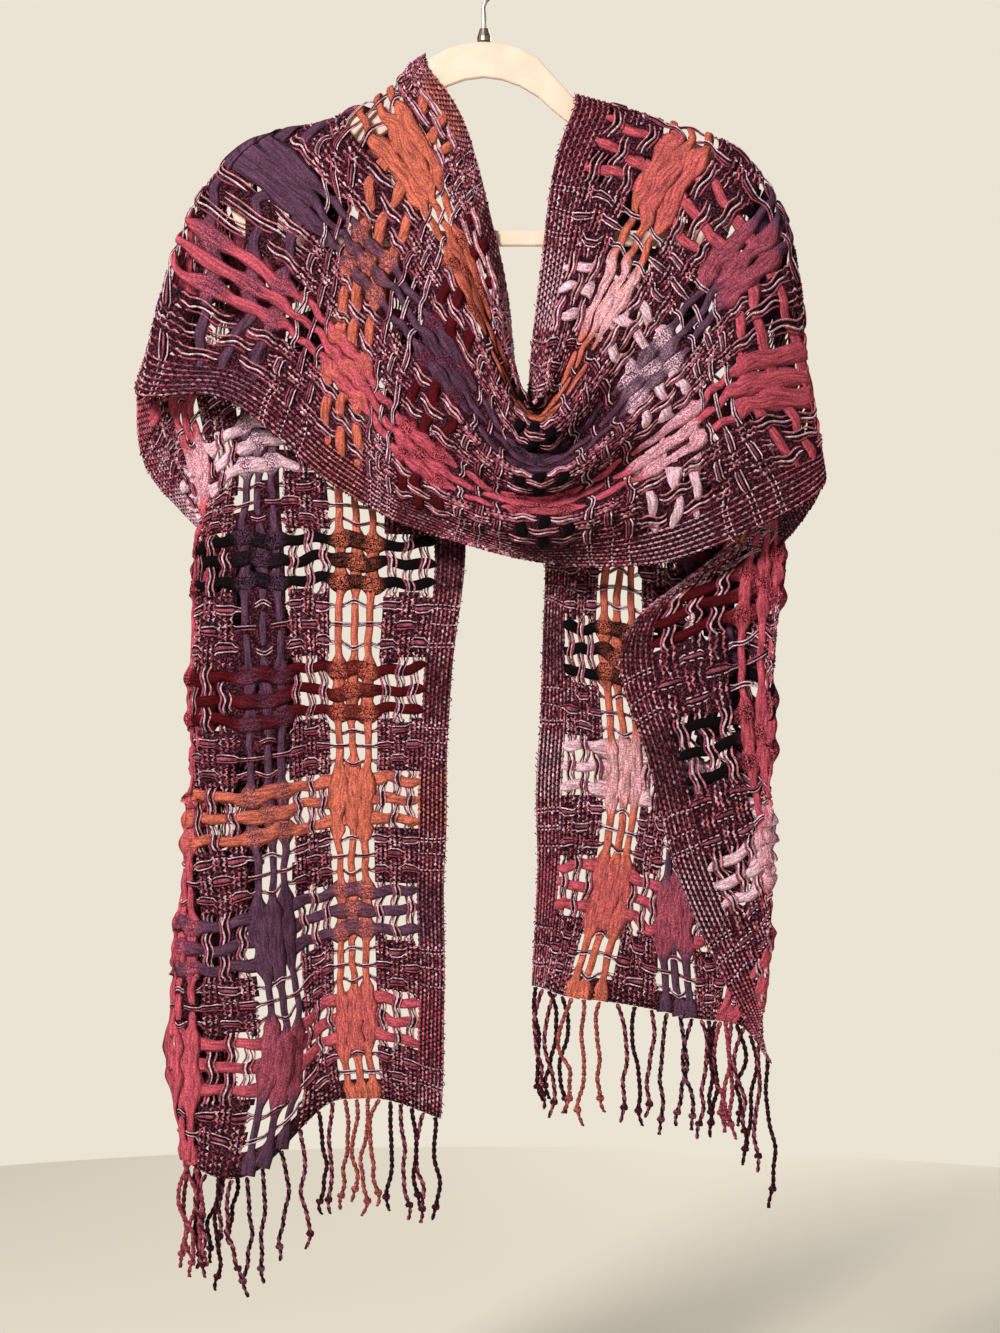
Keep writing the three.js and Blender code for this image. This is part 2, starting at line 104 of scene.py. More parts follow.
def addStage():
    around = np.linspace(0, 2 * np.pi, 97)[:-1]
    radius = view["floorRadius"] * mm
    rim = [(radius * math.cos(a), radius * math.sin(a), view["floorZ"] * mm) for a in around]
    floorMesh = bpy.data.meshes.new("floor")
    floorMesh.from_pydata(rim, [], [tuple(range(len(rim)))])
    floor = bpy.data.objects.new("floor", floorMesh)
    floor.data.materials.append(floorMaterial())
    bpy.context.collection.objects.link(floor)
    addWorld()
    for name, settings in lamps.items():
        addLight(name, *settings)


def addWorld():
    # a pale studio, with most of the light left to the lamps
    bpy.context.scene.view_settings.view_transform = "Standard"
    world = bpy.data.worlds.new("softWorld")
    bpy.context.scene.world = world
    world.use_nodes = True
    tree = world.node_tree
    paths = addNode(tree, "ShaderNodeLightPath")
    strength = mapRange(tree, paths.outputs["Is Camera Ray"], 0, 1, 0.2, 1)
    background = tree.nodes["Background"]
    background.inputs["Color"].default_value = view["room"]
    tree.links.new(strength, background.inputs["Strength"])


def addNode(tree, kind, **settings):
    node = tree.nodes.new(kind)
    for key, value in settings.items():
        if key in node.inputs:
            node.inputs[key].default_value = value
        else:
            setattr(node, key, value)
    return node


def mapRange(tree, source, fromLow, fromHigh, toLow, toHigh):
    node = tree.nodes.new("ShaderNodeMapRange")
    ends = {"From Min": fromLow, "From Max": fromHigh, "To Min": toLow, "To Max": toHigh}
    for key, value in ends.items():
        node.inputs[key].default_value = value
    tree.links.new(source, node.inputs["Value"])
    return node.outputs[0]


def floorMaterial():
    # lifted a little, so the floor runs into the pale wall
    material, tree, shader = nodesFor("paleFloor")
    shader.inputs["Base Color"].default_value = (0.8, 0.75, 0.655, 1)
    shader.inputs["Roughness"].default_value = 0.9
    shader.inputs["Emission Color"].default_value = view["room"]
    shader.inputs["Emission Strength"].default_value = 0.06
    return material


# how the cloth hangs: six rails run its whole length, and each row is one section across it

cloth = {
    "length": 1820, "width": 328,
    "parts": (640, 1262),              # where one stretch ends and the next begins
    "partLean": {"left": 715, "right": 1222, "full": 30, "none": 150},
}
stretchNames = ("leftTail", "frontDrape", "rightTail")
across = {"neck": 0, "orange": 84, "valley": 124, "purple": 164, "outer": 328}
rails = ["neck", "orange", "valley", "purple", "turn", "outer"]


def section(along, turnAt, *places):
    # places are (x, y, z) on each rail; only the left tail has a valley
    named = [rail for rail in rails if rail != "valley" or len(places) == len(rails)]
    return {"along": along, "turnAt": turnAt, **dict(zip(named, places))}


leftTail = [
    section(0, 255, (-32, 18, -889), (-93, 19, -875), (-124, 30, -884),
            (-168, 5, -925), (-226, 13, -918), (-185, 25, -908)),
    section(68, 268, (-31, 16, -824), (-99, 18, -812), (-126, 30, -822),
            (-152, 12, -843), (-236, 10, -848), (-190, 26, -845)),
    section(161, 265, (-30, 15, -732), (-100, 16, -732), (-129, 28, -739),
            (-158, 12, -752), (-233, 12, -758), (-182, 28, -752)),
    section(254, 225, (-29, 14, -647), (-100, 15, -647), (-131, 24, -650),
            (-163, 13, -658), (-222, 14, -662), (-160, 30, -660)),
    section(347, 214, (-26, 13, -564), (-99, 14, -564), (-133, 20, -563),
            (-168, 14, -571), (-219, 16, -572), (-142, 31, -572)),
    section(440, 212, (-15, 13, -467), (-96, 13, -467), (-133, 16, -465),
            (-170, 14, -464), (-215, 18, -468), (-160, 30, -484)),
    section(533, 222, (-11, 13, -378), (-100, 12, -378), (-137, 12, -376),
            (-172, 12, -376), (-208, 13, -398), (-226, 15, -432)),
    section(626, 212, (-20, 13, -262), (-88, 12, -262), (-130, 11, -262),
            (-174, 10, -270), (-216, 10, -290), (-263, 10, -361)),
]
front = [
    section(719, 204, (-56, 9, -159), (-72, 8, -141),
            (-156, -9, -173), (-171, -15, -211), (-201, -22, -344)),
    section(812, 230, (-24, -8, -119), (-52, -13, -168),
            (-88, -22, -243), (-99, -28, -310), (-110, -24, -411)),
    section(905, 244, (8, -10, -224), (-13, -24, -251),
            (-29, -36, -319), (-48, -38, -390), (-48, -28, -443)),
    section(998, 244, (29, -14, -351), (39, -36, -360),
            (40, -48, -396), (43, -50, -427), (46, -34, -469)),
    section(1091, 244, (41, -10, -258), (93, -24, -273),
            (125, -36, -326), (139, -38, -379), (142, -26, -466)),
    section(1184, 244, (61, -8, -145), (137, -12, -179),
            (191, -20, -243), (220, -22, -332), (248, -16, -413)),
]
rightTail = [
    section(1277, 244, (65, 10, -207), (148, 10, -220),
            (202, 9, -270), (230, 10, -375), (227, 9, -451)),
    section(1370, 215, (57, 13, -322), (122, 14, -330),
            (174, 14, -360), (214, 11, -398), (182, 4, -462)),
    section(1463, 196, (49, 13, -436), (106, 14, -436),
            (163, 14, -443), (214, 10, -458), (106, 2, -526)),
    section(1556, 212, (43, 13, -526), (103, 14, -538),
            (174, 14, -553), (216, 10, -583), (125, 3, -623)),
    section(1649, 240, (40, 13, -621), (107, 14, -626),
            (156, 14, -636), (216, 10, -681), (154, 3, -726)),
    section(1742, 282, (40, 14, -711), (97, 14, -716),
            (144, 14, -734), (214, 10, -775), (197, 4, -813)),
    section(1820, 306, (35, 15, -789), (76, 12, -798),
            (148, 16, -811), (206, 10, -832), (216, 3, -846)),
]
# the highest line of each shoulder: place along the warp, x, z
leftTop = dict(turnAt=204, neck=(770, -45, -84), orange=(753, -79, -115), valley=(725, -128, -136.2),
               purple=(697, -175, -149), turn=(690, -206, -177), outer=(655, -262, -332))
rightTop = dict(turnAt=244, neck=(1213, 69, -115), orange=(1229, 157, -141), valley=(1236, 194, -157),
                purple=(1241, 224, -197), turn=(1210, 243, -321), outer=(1202, 257, -398))
bend = {
    "run": 12, "depth": 7, "drop": 8, "clear": 20,
    "near": 25, "far": 165,            # where the rows lean to follow a shoulder, and where no more
}
gather = {"along": 998, "reach": 92, "depth": 11, "pitch": 82, "phase": 0.35}


def curveThrough(xs, ys, x):
    # a smooth curve through uneven points, for many places at once
    xs = np.broadcast_to(xs, (len(x), np.shape(xs)[-1]))
    ys = np.broadcast_to(ys, xs.shape)
    last = xs.shape[1] - 1
    i = np.clip((x[:, None] > xs).sum(axis=1) - 1, 0, last - 1)
    rows = np.arange(len(x))

    def slope(k):
        k = np.clip(k, 0, last - 1)
        return (ys[rows, k + 1] - ys[rows, k]) / (xs[rows, k + 1] - xs[rows, k])

    def tangent(k):
        before = xs[rows, k] - xs[rows, np.maximum(k - 1, 0)]
        after = xs[rows, np.minimum(k + 1, last)] - xs[rows, k]
        inner = (slope(k - 1) * after + slope(k) * before) / (before + after)
        return np.where(k == 0, slope(0 * k), np.where(k == last, slope(0 * k + last - 1), inner))

    span = xs[rows, i + 1] - xs[rows, i]
    u = (x - xs[rows, i]) / span
    u2 = u * u
    u3 = u2 * u
    return ((2 * u3 - 3 * u2 + 1) * ys[rows, i] + (u3 - 2 * u2 + u) * span * tangent(i)
            + (3 * u2 - 2 * u3) * ys[rows, i + 1] + (u3 - u2) * span * tangent(i + 1))


def smoothStep(low, high, x):
    u = np.clip((x - low) / (high - low), 0, 1)
    return u * u * (3 - 2 * u)


def railKnots(rail):
    knots = []
    tops = (leftTop[rail], rightTop[rail])
    for row in leftTail + front + rightTail:
        if any(abs(row["along"] - top[0]) < bend["clear"] for top in tops):
            continue
        place = row.get(rail)
        if place is None:
            place = tuple((a + b) / 2 for a, b in zip(row["orange"], row["purple"]))
        knots.append((row["along"], row["turnAt"] if rail == "turn" else across[rail], *place))
    for top, toFront in ((leftTop, 1), (rightTop, -1)):
        along, x, z = top[rail]
        w = top["turnAt"] if rail == "turn" else across[rail]
        for step in (-1, 0, 1):
            y = -step * toFront * bend["depth"]
            knots.append((along + step * bend["run"], w, x, y, z - abs(step) * bend["drop"]))
    return np.array(sorted(knots), float)


railTables = [railKnots(rail) for rail in rails]


def topAlong(tops, w):
    places = [tops["turnAt"] if rail == "turn" else across[rail] for rail in rails]
    return curveThrough(places, [tops[rail][0] for rail in rails], w)


def clothPoints(s, w):
    shifts = np.zeros((len(rails), len(s)))
    for tops in (leftTop, rightTop):
        here = topAlong(tops, w)
        weight = 1 - smoothStep(bend["near"], bend["far"], abs(s - here))
        for k, rail in enumerate(rails):
            shifts[k] += weight * (tops[rail][0] - here)
    section = np.array([[curveThrough(table[:, 0], table[:, c], s + shifts[k]) for c in (1, 2, 3, 4)]
                        for k, table in enumerate(railTables)])
    places = section[:, 0].T
    points = np.array([curveThrough(places, section[:, c].T, w) for c in (1, 2, 3)]).T
    fade = np.exp(-((s - gather["along"]) / gather["reach"]) ** 2)
    points[:, 1] += gather["depth"] * fade * np.sin(2 * np.pi * (w / gather["pitch"] + gather["phase"]))
    return points


# one lookup grid holds the draped surface, its normals and its small uneven puckers

grid = {
    "step": 2.0, "margin": 16,
    "slip": 1.5, "slipScale": 17,      # how far the threads wander in the cloth, mm
    "pucker": 1.5, "puckerScale": 13,  # how far the cloth crinkles out of its face
}
gridS = np.arange(-grid["margin"], cloth["length"] + grid["margin"] + 0.1, grid["step"])
gridW = np.arange(-grid["margin"], cloth["width"] + grid["margin"] + 0.1, grid["step"])
gridShape = (len(gridS), len(gridW))


def unevenField(s, w, scale, seed):
    # smooth noise of about -1 to 1 from a few crossing waves
    own = np.random.default_rng(seed)
    total = np.zeros_like(s)
    for k in range(9):
        angle = own.uniform(0, np.pi)
        length = scale * own.uniform(0.7, 2.2)
        total += np.sin((s * np.cos(angle) + w * np.sin(angle)) / length + own.uniform(0, 2 * np.pi))
    return total / 3.2


allS, allW = (part.ravel() for part in np.meshgrid(gridS, gridW, indexing="ij"))
slipS = grid["slip"] * unevenField(allS, allW, grid["slipScale"], 21)
slipW = grid["slip"] * unevenField(allS, allW, grid["slipScale"], 22)
gridPoints = clothPoints(allS + slipS, allW + slipW).reshape(*gridShape, 3)


def normalsOf(points):
    normals = np.cross(np.gradient(points, axis=1), np.gradient(points, axis=0))
    return normals / np.linalg.norm(normals, axis=2, keepdims=True)


crinkle = grid["pucker"] * unevenField(allS, allW, grid["puckerScale"], 23).reshape(gridShape)
gridPoints += normalsOf(gridPoints) * crinkle[:, :, None]
gridNormals = normalsOf(gridPoints)
print("draped surface:", gridShape)


def lookUp(table, s, w):
    fs = np.clip((s - gridS[0]) / grid["step"], 0, gridShape[0] - 1.001)
    fw = np.clip((w - gridW[0]) / grid["step"], 0, gridShape[1] - 1.001)
    i = fs.astype(int)
    j = fw.astype(int)
    a = (fs - i)[:, None]
    b = (fw - j)[:, None]
    return ((1 - a) * (1 - b) * table[i, j] + a * (1 - b) * table[i + 1, j]
            + (1 - a) * b * table[i, j + 1] + a * b * table[i + 1, j + 1])


def onCloth(flat):
    # flat is (along, across, height above the middle of the cloth), all in mm
    normal = lookUp(gridNormals, flat[:, 0], flat[:, 1])
    return lookUp(gridPoints, flat[:, 0], flat[:, 1]) + normal * flat[:, 2:3], normal


def partLine(middle, w, tops, lean):
    full, none = cloth["partLean"]["full"], cloth["partLean"]["none"]
    weight = 1 - smoothStep(full, none, abs(middle - lean))
    return middle + weight * (topAlong(tops, w) - lean)


def stretchOf(s, w):
    # 0 left tail, 1 front drape, 2 right tail
    first = partLine(cloth["parts"][0], w, leftTop, cloth["partLean"]["left"])
    second = partLine(cloth["parts"][1], w, rightTop, cloth["partLean"]["right"])
    return (s > first).astype(int) + (s > second).astype(int)


# colours of the yarns, linear

def srgb(text):
    values = [int(text[k:k + 2], 16) / 255 for k in (0, 2, 4)]
    return np.array([v / 12.92 if v < 0.04045 else ((v + 0.055) / 1.055) ** 2.4 for v in values])


yarn = {
    "orange": srgb("c36654"), "pink": srgb("ba5060"), "purple": srgb("58394e"), "burgundy": srgb("4c0a12"),
    "black": srgb("0d0508"), "white": srgb("e6bccb"), "light": srgb("d0848d"), "dark": srgb("12040a"),
    "mauve": srgb("9a5163"), "wine": srgb("4a1625"), "pinkish": srgb("a65062"),
}
barColours = ["pink", "purple", "orange", "burgundy", "black", "white"]
columnColours = {84: "orange", 164: "purple", 244: "pink"}

weave = {
    "barPitch": 93, "firstBar": 68, "bars": 19, "barHalf": 24,
    "columns": (84, 164, 244), "thins": (44, 124, 204, 284),
    "cordGap": 12.8, "weftGap": 16.0,
    "ribbonHalf": 2.85, "ribbonThick": 1.2, "weftHalf": 4.0, "weftThick": 1.35,
    "hemHalf": 6.4, "blobReach": 11.0,
    # widest half, lift and share of the other colour, where cords felt and where they only cross
    "blob": (8.0, 0.35, 1.3), "cross": (5.8, 1.1, 0.25),
    "soak": 0.09,                      # how much of the bar's colour each crossing adds to a ribbon
    "rowOffsets": (-13.6, 0, 13.6),
    "overLift": 1.0, "underLift": 1.2,  # how far ribbons and wefts step over thin yarns
    "sway": (19, 1.5), "ribbonCrimp": (5.5, 1.9), "weftSway": (7.5, 2.8),
}
patch = {
    # half width of the ribbons and of the wefts in a patch, and how far their colours mix
    "plain": (7.9, 5.4, 0.75), "white": (5.2, 8.6, 0.8),
    "whole": 19, "reach": 34,          # where a patch begins to fray, and where it ends
    "shift": 7, "swell": 0.26, "lift": 0.5,
    "weftMix": 0.6, "weftThin": 0.84,
}


def barMiddle(n):
    return weave["firstBar"] + weave["barPitch"] * n


def nearestBar(s):
    return np.clip(np.round((s - weave["firstBar"]) / weave["barPitch"]), 0, weave["bars"] - 1).astype(int)


def fromSelvage(w):
    return np.minimum(w, cloth["width"] - w)


def trios(columns):
    # the three cords or bundles of each column
    for column in columns:
        for i in (-1, 0, 1):
            yield column, i


def barColour(n):
    return barColours[n % len(barColours)]


def overUnder(number):
    # every second thread passes over, the others under
    return 1 if number % 2 == 0 else -1


def bump(x, reach):
    # 1 at 0, falling smoothly to 0 at reach
    return np.where(abs(x) < reach, 0.5 + 0.5 * np.cos(np.pi * np.clip(x / reach, -1, 1)), 0)


def wander(t, scale, size, seed):
    # slow random sway along a thread
    own = np.random.default_rng(seed)
    total = np.zeros_like(t)
    for k in range(3):
        total += np.sin(t / (scale * (0.6 + 0.5 * k)) + own.uniform(0, 2 * np.pi)) * own.uniform(0.4, 1)
    return total * size / 1.6


class Threads:
    # collects swept threads of one piece in flat space, then makes one mesh of them
    def __init__(self):
        self.points = []
        self.faces = []
        self.colours = []
        self.others = []
        self.flats = []
        self.count = 0

    def add(self, path, keep, halfWide, halfThick, colour, other=None, mix=0,
            sides=6, turned=False, felted=False):
        # path: (n, 3) of along, across, height. Colour may be one colour or one for each point.
        n = len(path)
        centre, normal = onCloth(path)
        forward = np.gradient(centre, axis=0)
        side = np.cross(normal, forward)
        side /= np.maximum(np.linalg.norm(side, axis=1, keepdims=True), 1e-6)
        angle = 2 * np.pi * (np.arange(sides) + (0 if sides == 6 else 0.5)) / sides
        wide = np.broadcast_to(halfWide, n)[:, None] * np.cos(angle)
        thick = np.broadcast_to(halfThick, n)[:, None] * np.sin(angle)
        ring = centre[:, None] + side[:, None] * wide[:, :, None] + normal[:, None] * thick[:, :, None]
        colour = np.broadcast_to(colour, (n, 3))
        other = colour if other is None else np.broadcast_to(other, (n, 3))
        mix = np.broadcast_to(mix, n)
        for first, end in runsOf(keep):
            length = end - first
            if length < 2:
                continue
            self.points.append(ring[first:end].reshape(-1, 3) * mm)
            flat = np.repeat(path[first:end, 1::-1] if turned else path[first:end, :2], sides, axis=0)
            if felted:
                # fibre lines need a place of their own across the cord
                flat[:, 0] += wide[first:end].ravel()
            self.flats.append(flat)
            both = np.concatenate([colour, mix[:, None]], axis=1)[first:end]
            self.colours.append(np.repeat(both, sides, axis=0))
            self.others.append(np.repeat(np.c_[other, np.ones(n)][first:end], sides, axis=0))
            a, b = (self.count + corner for corner in ringCorners(length, sides))
            self.faces.append(np.c_[a, b, b + sides, a + sides])
            ends = self.count + np.arange(sides), self.count + (length - 1) * sides + np.arange(sides)
            self.faces += [capFaces(ends[0][::-1]), capFaces(ends[1])]
            self.count += length * sides

    def build(self, name, material):
        return makeMesh(name, np.concatenate(self.points), np.concatenate(self.faces), material,
                        np.concatenate(self.flats), np.concatenate(self.colours), np.concatenate(self.others))


def ringCorners(rings, sides):
    # each corner of every ring but the last, and the corner next to it on the same ring
    first = np.arange(rings - 1)[:, None] * sides
    return (first + np.arange(sides)).ravel(), (first + (np.arange(sides) + 1) % sides).ravel()


def capFaces(cap):
    # a fan of triangles, with -1 for the corner that a quad would have
    spare = len(cap) - 2
    return np.c_[np.repeat(cap[0], spare), cap[1:-1], cap[2:], np.repeat(-1, spare)]


def runsOf(keep):
    edges = np.flatnonzero(np.diff(np.r_[0, keep.astype(int), 0]))
    return list(zip(edges[::2], edges[1::2]))


def makeMesh(name, points, faces, material, flat, colours, others):
    faces = np.asarray(faces)
    triangle = faces[:, 3] < 0
    counts = np.where(triangle, 3, 4)
    loops = faces.ravel()
    loops = loops[loops >= 0]
    mesh = bpy.data.meshes.new(name)
    mesh.vertices.add(len(points))
    mesh.vertices.foreach_set("co", points.astype(np.float32).ravel())
    mesh.loops.add(len(loops))
    mesh.loops.foreach_set("vertex_index", loops.astype(np.int32))
    mesh.polygons.add(len(faces))
    starts = np.r_[0, np.cumsum(counts)[:-1]]
    mesh.polygons.foreach_set("loop_start", starts.astype(np.int32))
    mesh.update(calc_edges=True)
    mesh.polygons.foreach_set("use_smooth", np.ones(len(faces), bool))
    uv = mesh.uv_layers.new(name="flat")
    uv.data.foreach_set("uv", (flat[loops][:, :2] / 100).astype(np.float32).ravel())
    for label, values in (("yarn", colours), ("other", others)):
        layer = mesh.color_attributes.new(label, "FLOAT_COLOR", "POINT")
        layer.data.foreach_set("color", values.astype(np.float32).ravel())
    mesh.materials.append(material)
    obj = bpy.data.objects.new(name, mesh)
    bpy.context.collection.objects.link(obj)
    return obj


# materials

def nodesFor(name):
    material = bpy.data.materials.new(name)
    material.use_nodes = True
    tree = material.node_tree
    return material, tree, tree.nodes["Principled BSDF"]


def grainOf(tree, scale, **settings):
    # noise of one scale all through the object
    place = addNode(tree, "ShaderNodeTexCoord")
    grain = addNode(tree, "ShaderNodeTexNoise", Scale=scale, **settings)
    tree.links.new(place.outputs["Object"], grain.inputs["Vector"])
    return grain.outputs["Fac"]


def threadLines(tree, draw):
    # noise drawn out along each thread, as its fibres lie
    flatPlace = addNode(tree, "ShaderNodeUVMap", uv_map="flat")
    drawn = addNode(tree, "ShaderNodeMapping")
    drawn.inputs["Scale"].default_value = draw
    tree.links.new(flatPlace.outputs[0], drawn.inputs["Vector"])
    fibres = addNode(tree, "ShaderNodeTexNoise", Scale=1.0, Detail=3.0, Distortion=0.8)
    tree.links.new(drawn.outputs[0], fibres.inputs["Vector"])
    return fibres.outputs["Fac"]


def toned(tree, colour, grain, tones):
    # darkened and lightened by the grain, between two tones
    tone = mapRange(tree, grain, 0.37, 0.63, *tones)
    shade = addNode(tree, "ShaderNodeMix", data_type="RGBA", blend_type="MULTIPLY")
    shade.inputs[0].default_value = 1.0
    tree.links.new(colour, shade.inputs[6])
    tree.links.new(tone, shade.inputs[7])
    return shade.outputs[2]


def rampOf(tree, grain, stops):
    ramp = addNode(tree, "ShaderNodeValToRGB")
    for element, (place, colour) in zip(ramp.color_ramp.elements, stops):
        element.position = place
        element.color = colour
    tree.links.new(grain, ramp.inputs[0])
    return ramp.outputs[0]


def addRelief(tree, shader, height, strength, distance):
    relief = addNode(tree, "ShaderNodeBump", Strength=strength, Distance=distance)
    tree.links.new(height, relief.inputs["Height"])
    tree.links.new(relief.outputs[0], shader.inputs["Normal"])


def surface(tree, shader, colour, values):
    tree.links.new(colour, shader.inputs["Base Color"])
    for key, value in values.items():
        shader.inputs[key].default_value = value


feltLook = {
    "fuzzScale": 850, "fuzzTones": (0.5, 1.28), "relief": (0.7, 0.0007),
    "heatherScale": 1000, "heatherEdge": (0.47, 0.53),
    "fibreDraw": (62, 8, 1), "fibreTones": (0.56, 1.28),
    "surface": {"Roughness": 0.95, "Specular IOR Level": 0.1},
}


def feltMaterial():
    # heathered with the other yarn where two felted cords cross
    material, tree, shader = nodesFor("feltedCord")
    link = tree.links.new
    ownYarn = addNode(tree, "ShaderNodeAttribute", attribute_name="yarn")
    otherYarn = addNode(tree, "ShaderNodeAttribute", attribute_name="other")
    speckle = grainOf(tree, feltLook["heatherScale"], Detail=1.0, Roughness=0.6)
    sharp = mapRange(tree, speckle, *feltLook["heatherEdge"], 0, 1)
    share = addNode(tree, "ShaderNodeMath", operation="MULTIPLY")
    link(sharp, share.inputs[0])
    link(ownYarn.outputs["Alpha"], share.inputs[1])
    blend = addNode(tree, "ShaderNodeMix", data_type="RGBA")
    link(share.outputs[0], blend.inputs[0])
    link(ownYarn.outputs["Color"], blend.inputs[6])
    link(otherYarn.outputs["Color"], blend.inputs[7])
    fuzz = grainOf(tree, feltLook["fuzzScale"], Detail=4.0, Roughness=0.65)
    colour = toned(tree, blend.outputs[2], fuzz, feltLook["fuzzTones"])
    colour = toned(tree, colour, threadLines(tree, feltLook["fibreDraw"]), feltLook["fibreTones"])
    addRelief(tree, shader, fuzz, *feltLook["relief"])
    surface(tree, shader, colour, feltLook["surface"])
    return material


shellLook = {
    "speckleScale": 700, "relief": (0.6, 0.0006),
    # the near-black stop is painted shade between the ribs; the paler stop is closer to the weave's own wine
    "stops": ((0.48, (0.008, 0.0015, 0.003, 1)), (0.75, (0.17, 0.035, 0.06, 1))),
    "surface": {"Roughness": 0.95, "Specular IOR Level": 0.1},
}


def shellMaterial():
    # the ground weave that shows between the ribs, its own dark wine darkened to near black as painted shade
    # in the gaps
    material, tree, shader = nodesFor("groundWeaveAndShade")
    speckle = grainOf(tree, shellLook["speckleScale"], Detail=2.0)
    addRelief(tree, shader, speckle, *shellLook["relief"])
    surface(tree, shader, rampOf(tree, speckle, shellLook["stops"]), shellLook["surface"])
    return material


yarnLook = {
    "twistScale": 1200, "twistTones": (0.45, 1.25), "relief": (0.7, 0.0004),
    "lineDraw": (75, 14, 1), "lineTones": (0.45, 1.3),
    "surface": {"Roughness": 0.9, "Specular IOR Level": 0.15},
}


def yarnMaterial():
    # thin yarns, with the shadow of their twist
    material, tree, shader = nodesFor("thinYarn")
    ownYarn = addNode(tree, "ShaderNodeAttribute", attribute_name="yarn")
    twist = grainOf(tree, yarnLook["twistScale"], Detail=2.0)
    colour = toned(tree, ownYarn.outputs["Color"], twist, yarnLook["twistTones"])
    colour = toned(tree, colour, threadLines(tree, yarnLook["lineDraw"]), yarnLook["lineTones"])
    addRelief(tree, shader, twist, *yarnLook["relief"])
    surface(tree, shader, colour, yarnLook["surface"])
    return material


# thick felted cords: nine warp ribbons and three wefts in each bar

selvageWide = 24
ribPitch = 3.65
alongPlaces = np.arange(0, cloth["length"] + 0.1, 2.0)
acrossPlaces = np.concatenate([
    np.arange(0.6, selvageWide, ribPitch / 2),
    np.linspace(selvageWide + 1, cloth["width"] - selvageWide - 1, 132),
    cloth["width"] - np.arange(0.6, selvageWide, ribPitch / 2)[::-1],
])


def crossings():
    for n in range(weave["bars"]):
        for j in (-1, 0, 1):
            yield n, j, barMiddle(n) + j * weave["weftGap"]


meltingPairs = [("pink", "orange"), ("pink", "purple"), ("white", "orange"), ("white", "pink")]


def melts(n, column):
    # cords of one colour, or of two near ones, felt together into a whole patch
    bar, warp = barColour(n), columnColours[column]
    return bar == warp or (bar, warp) in meltingPairs


def meltShape(n):
    return patch["white" if barColour(n) == "white" else "plain"]


def solidShare(away):
    # 1 inside a patch, falling to 0 where it has run out along its cords
    return 1 - smoothStep(patch["whole"], patch["reach"], abs(away))


def widen(half, near, target):
    return np.maximum(half, half + (target - half) * near ** 0.75)


def crossCord(half, h, mix, near, felts, side):
    # one crossing: the cord swells, leans to its side of the cloth and takes up some of the other colour
    widest, lift, share = weave["blob" if felts else "cross"]
    return widen(half, near, widest), h + side * near * lift, np.maximum(mix, near * share)


def ribbonPath(column, i):
    s = alongPlaces
    w = np.full_like(s, column + i * weave["cordGap"])
    h = np.zeros_like(s)
    half = np.full_like(s, weave["ribbonHalf"])
    mix = np.zeros_like(s)
    colour = np.tile(yarn[columnColours[column]], (len(s), 1))
    other = colour.copy()
    seed = column * 10 + i + 5
    inBar = np.zeros_like(s)
    for n, j, place in crossings():
        inBar = np.maximum(inBar, bump(s - barMiddle(n), weave["barHalf"] + 8))
        if melts(n, column):
            uneven = np.random.default_rng(seed * 40 + n).uniform(-patch["shift"], patch["shift"])
            solid = solidShare(s - barMiddle(n) - uneven)
            patchHalf, _, share = meltShape(n)
            half = np.maximum(half, weave["ribbonHalf"] + solid * (patchHalf - weave["ribbonHalf"]))
            other = np.where(solid[:, None] > 0, yarn[barColour(n)], other)
            mix = np.maximum(mix, solid * share)
            colour += weave["soak"] * solid[:, None] * (yarn[barColour(n)] - colour)
            continue
        near = bump(s - place, weave["blobReach"])
        other = np.where(near[:, None] > 0, yarn[barColour(n)], other)
        half, h, mix = crossCord(half, h, mix, near, (i + j) % 2 == 0, 1)
    for n in range(-1, weave["bars"]):
        middle = barMiddle(n) + weave["barPitch"] / 2
        for k, offset in enumerate(weave["rowOffsets"]):
            h += overUnder(i + k) * weave["overLift"] * bump(s - middle - offset, 8)
    atHem = 1 - smoothStep(8, 16, np.minimum(s, cloth["length"] - s))
    half = half + atHem * (weave["hemHalf"] - half)
    w = w + wander(s, *weave["sway"], seed) * (1 - 0.7 * inBar)
    crowded = 0.25 + 0.75 * crowdShare(s)
    w = w + wander(s, *weave["ribbonCrimp"], seed + 7) * crowded * (1 - 0.65 * inBar)
    half = half * (1 + 0.1 * wander(s, 9, 1, seed + 1000))
    melted = np.max([solidShare(s - barMiddle(n)) * melts(n, column) for n in range(weave["bars"])], axis=0)
    half = half * (1 + patch["swell"] * melted * wander(s, 5.5, 1, seed + 2000))
    h = h + patch["lift"] * melted * wander(s, 9, 1, seed + 3000)
    return s, w, h * (1 - atHem), half, np.clip(mix, 0, 1), colour, other


